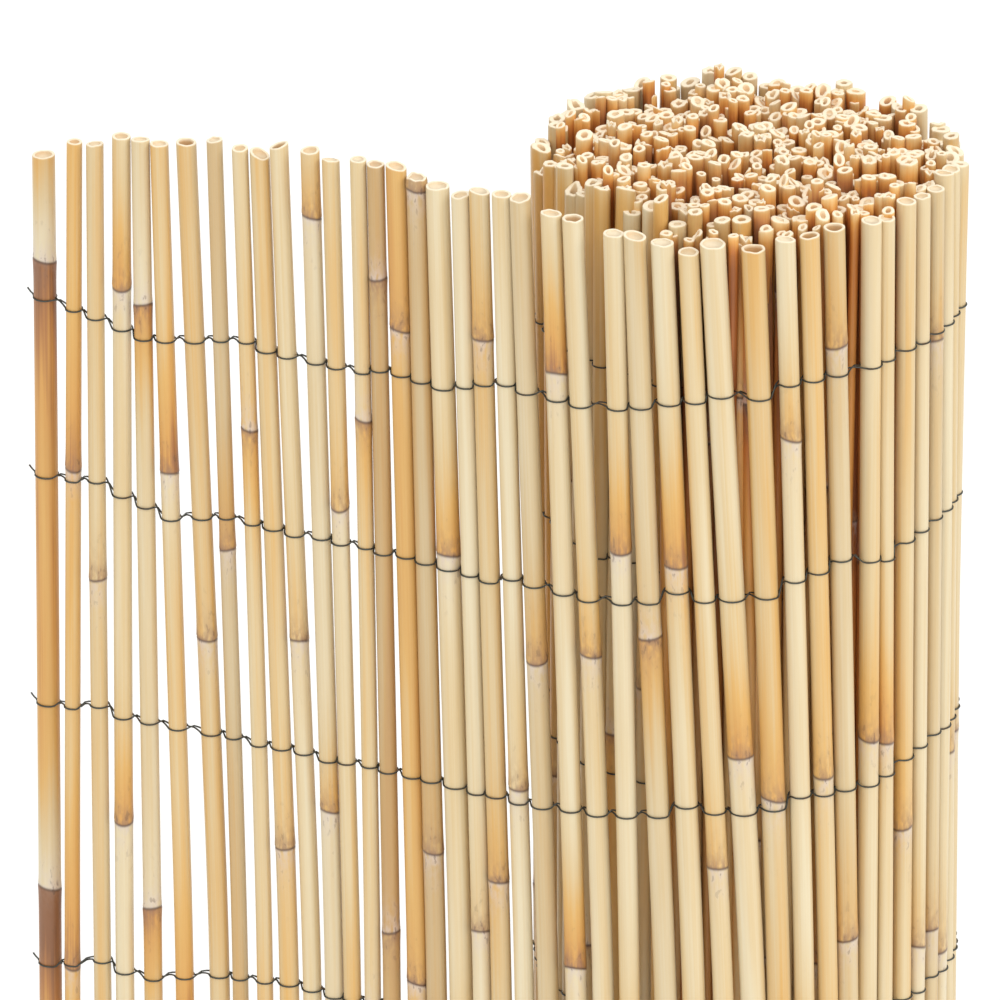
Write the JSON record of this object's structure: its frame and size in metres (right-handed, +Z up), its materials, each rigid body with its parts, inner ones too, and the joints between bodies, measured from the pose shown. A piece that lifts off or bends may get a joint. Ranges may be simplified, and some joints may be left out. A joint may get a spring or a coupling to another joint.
{
  "type": "reed screen",
  "caption": "Peeled reed fence screen on end, part unrolled: upright hollow reeds bound side by side by rows of steel wire, with a free leaf that curves off the roll.",
  "frame": {"origin": "on the floor, under the middle of the whole screen's box", "axes": "+Z up along the reeds; the free leaf points to -X, the roll lies to +X and the face looked at points to -Y"},
  "size_m": [0.3608, 0.1758, 0.75],
  "materials": {
    "reed": "satin",
    "rolled_reed": "satin",
    "wire": "dull"
  },
  "bodies": {
    "root": {"reed_01": "reed", "reed_02": "reed", "reed_03": "reed", "reed_04": "reed", "reed_05": "reed", "reed_06": "reed", "reed_07": "reed", "reed_08": "reed", "reed_09": "reed", "reed_10": "reed", "reed_11": "reed", "reed_12": "reed", "reed_13": "reed", "reed_14": "reed", "reed_15": "reed", "reed_16": "reed", "reed_17": "reed", "reed_18": "reed", "reed_19": "reed", "reed_20": "reed", "reed_21": "reed", "reed_22": "reed", "reed_23": "reed", "reed_24": "reed", "reed_25": "reed", "reed_26": "reed", "reed_27": "reed", "reed_28": "reed", "reed_29": "reed", "reed_30": "reed", "reed_31": "reed", "reed_32": "reed", "reed_33": "reed", "reed_34": "reed", "reed_35": "reed", "reed_36": "reed", "reed_37": "reed", "reed_38": "reed", "reed_39": "reed", "reed_40": "reed", "rolled_turns": "rolled_reed", "binding_wire_1": "wire", "binding_wire_2": "wire", "binding_wire_3": "wire", "binding_wire_4": "wire", "binding_wire_5": "wire", "binding_wire_6": "wire", "binding_wire_7": "wire"}
  },
  "joints": []
}
